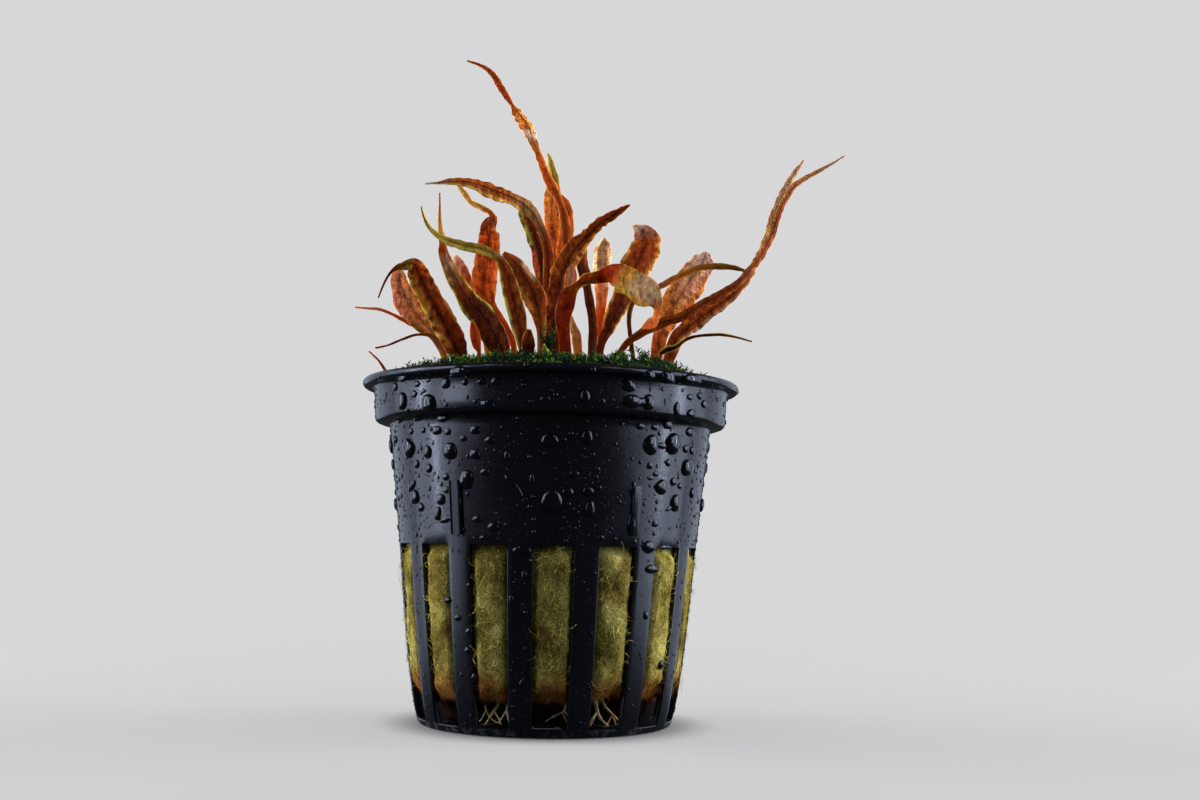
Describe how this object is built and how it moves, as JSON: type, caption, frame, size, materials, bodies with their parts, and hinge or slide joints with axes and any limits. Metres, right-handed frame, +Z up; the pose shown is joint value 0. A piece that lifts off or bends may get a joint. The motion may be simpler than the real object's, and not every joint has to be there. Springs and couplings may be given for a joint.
{
  "type": "potted aquarium plant",
  "caption": "Small brown-leaved aquarium plant with twisting ribbon leaves, rooted in rock wool in a slotted black net pot topped with moss.",
  "frame": {"origin": "middle of the pot's flat underside", "axes": "+Z up along the pot's axis, -Y towards the front that the picture shows, +X to that view's right"},
  "size_m": [0.0735, 0.055, 0.1009],
  "materials": {
    "black_plastic": "glossy near-black moulded plastic, wet with fine water beads",
    "rock_wool": "matted yellow mineral fibre, darker and browner in patches and at its lower edge",
    "moss": "dense dark green moss",
    "root": "pale tan fine roots",
    "leaf_brown": "thin wet leaf, red-brown with a dark midrib",
    "leaf_dark": "thin wet leaf, very dark red-brown",
    "leaf_orange": "thin translucent leaf, orange with red veins",
    "leaf_pink": "thin translucent leaf, pale pinkish brown",
    "leaf_olive": "thin leaf, olive green with brown"
  },
  "bodies": {
    "root": {"net_pot": "black_plastic", "rock_wool": "rock_wool", "moss_mat": "moss", "moss_tuft": "moss", "root_01": "root", "root_02": "root", "root_03": "root", "root_04": "root", "root_05": "root", "root_06": "root", "leaf_01": "leaf_brown", "leaf_02": "leaf_orange", "leaf_03": "leaf_pink", "leaf_04": "leaf_dark", "leaf_05": "leaf_brown", "leaf_06": "leaf_olive", "leaf_07": "leaf_pink", "leaf_08": "leaf_orange", "leaf_09": "leaf_dark", "leaf_10": "leaf_olive", "leaf_11": "leaf_dark", "leaf_12": "leaf_brown", "leaf_13": "leaf_orange", "leaf_14": "leaf_orange", "leaf_15": "leaf_orange", "leaf_16": "leaf_dark", "leaf_17": "leaf_brown", "leaf_18": "leaf_orange", "leaf_19": "leaf_pink", "leaf_20": "leaf_orange", "leaf_21": "leaf_pink", "leaf_22": "leaf_pink", "leaf_23": "leaf_orange", "leaf_24": "leaf_olive", "leaf_25": "leaf_dark", "leaf_26": "leaf_brown", "leaf_27": "leaf_olive", "leaf_28": "leaf_orange", "leaf_29": "leaf_olive", "leaf_30": "leaf_dark"}
  },
  "joints": []
}
